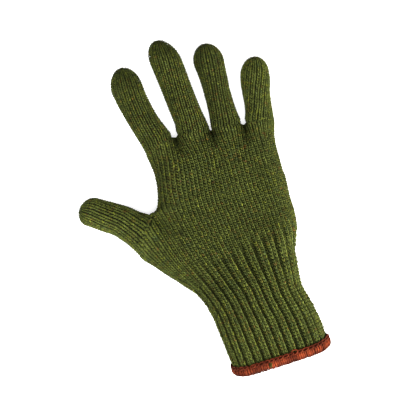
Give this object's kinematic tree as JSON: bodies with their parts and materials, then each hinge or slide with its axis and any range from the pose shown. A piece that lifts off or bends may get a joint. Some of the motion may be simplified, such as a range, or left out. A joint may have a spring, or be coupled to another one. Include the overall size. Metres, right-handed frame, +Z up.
{
  "type": "knitted wool glove",
  "caption": "Filled-out hollow knitted glove lying back up: ribbed cuff with a wrapped hem, palm, thumb and fingers, open at the wrist.",
  "frame": {"origin": "on the surface it rests on, under the middle of the glove's outline", "axes": "+Y from the cuff towards the fingertips, +Z up out of the back of the glove, thumb towards -X"},
  "size_m": [0.1692, 0.2582, 0.0384],
  "materials": {
    "plain_knit": "heather olive wool in plain knit, matt and slightly fuzzy",
    "rib_knit": "heather olive wool in wide rib knit, matt and slightly fuzzy",
    "hem_thread": "rust-red overlock thread, wrapped closely"
  },
  "bodies": {
    "root": {"cuff_hem": "hem_thread", "rib_cuff": "rib_knit", "lower_palm": "plain_knit", "upper_palm": "plain_knit", "finger_roots": "plain_knit", "thumb": "plain_knit", "index_finger": "plain_knit", "middle_finger": "plain_knit", "ring_finger": "plain_knit", "little_finger": "plain_knit"}
  },
  "joints": []
}
